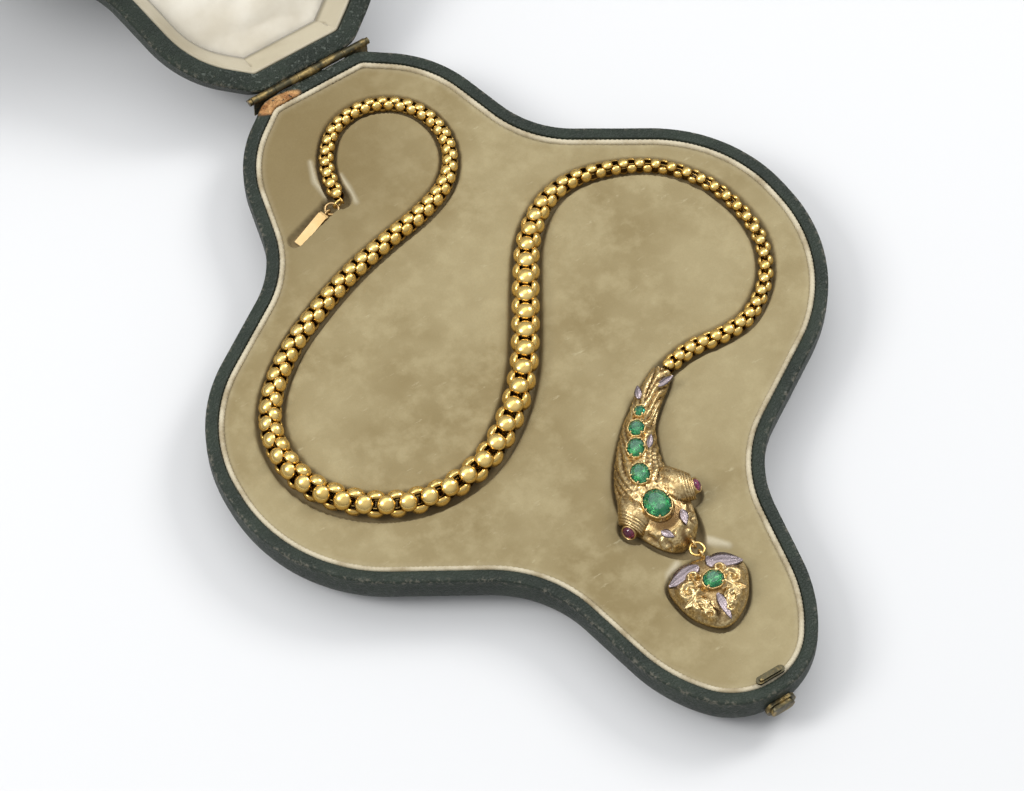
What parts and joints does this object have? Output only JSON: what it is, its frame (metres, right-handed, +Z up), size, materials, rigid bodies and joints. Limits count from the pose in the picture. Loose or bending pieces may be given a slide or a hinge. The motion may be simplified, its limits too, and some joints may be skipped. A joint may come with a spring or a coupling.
{
  "type": "snake necklace in a fitted hinged case",
  "caption": "Graduated domed-link gold snake necklace with a jewelled head and heart drop, lying in its fitted leather case with a velvet pad and hinged satin-lined lid.",
  "frame": {"origin": "middle of the case base's flat foot", "axes": "+Y towards the hinge, +Z up, +X to the right seen from the front latch; the lid rests fully open"},
  "size_m": [0.1464, 0.3577, 0.1008],
  "materials": {
    "case_leather": "worn grained dark green leather over wood",
    "piping_cord": "ribbed cream cord",
    "velvet": "faded beige velvet",
    "satin": "cream satin",
    "lining_cloth": "beige cloth",
    "case_brass": "tarnished brass",
    "polished_gold": "polished yellow gold",
    "bloomed_gold": "matt bloomed gold with bright worn edges",
    "rose_gold": "polished rose gold",
    "emerald": "polished faceted green stone",
    "ruby": "polished red cabochon"
  },
  "bodies": {
    "case": {"case_base": "case_leather", "base_piping": "piping_cord", "velvet_pad": "velvet", "base_hinge": "case_brass", "hinge_pin": "case_brass", "latch_catch": "case_brass", "push_button": "case_brass", "chain": "polished_gold", "snake_head": "bloomed_gold", "emerald_1": "emerald", "emerald_2": "emerald", "emerald_3": "emerald", "emerald_4": "emerald", "emerald_5": "emerald", "ruby_left": "ruby", "ruby_right": "ruby", "jump_ring": "polished_gold", "heart_pendant": "bloomed_gold", "heart_emerald": "emerald", "tail_link": "polished_gold", "tail_ring": "rose_gold", "clasp_tongue": "rose_gold"},
    "lid": {"lid_shell": "case_leather", "lid_lining": "lining_cloth", "lid_satin": "satin", "lid_hinge": "case_brass", "lid_keeper": "case_brass"}
  },
  "joints": [
    {"name": "lid_swing", "type": "hinge", "parent": "case", "child": "lid", "pos_m": [0, 0.096, 0.0131], "axis": [1, 0, 0], "range_deg": [0, 152]}
  ]
}
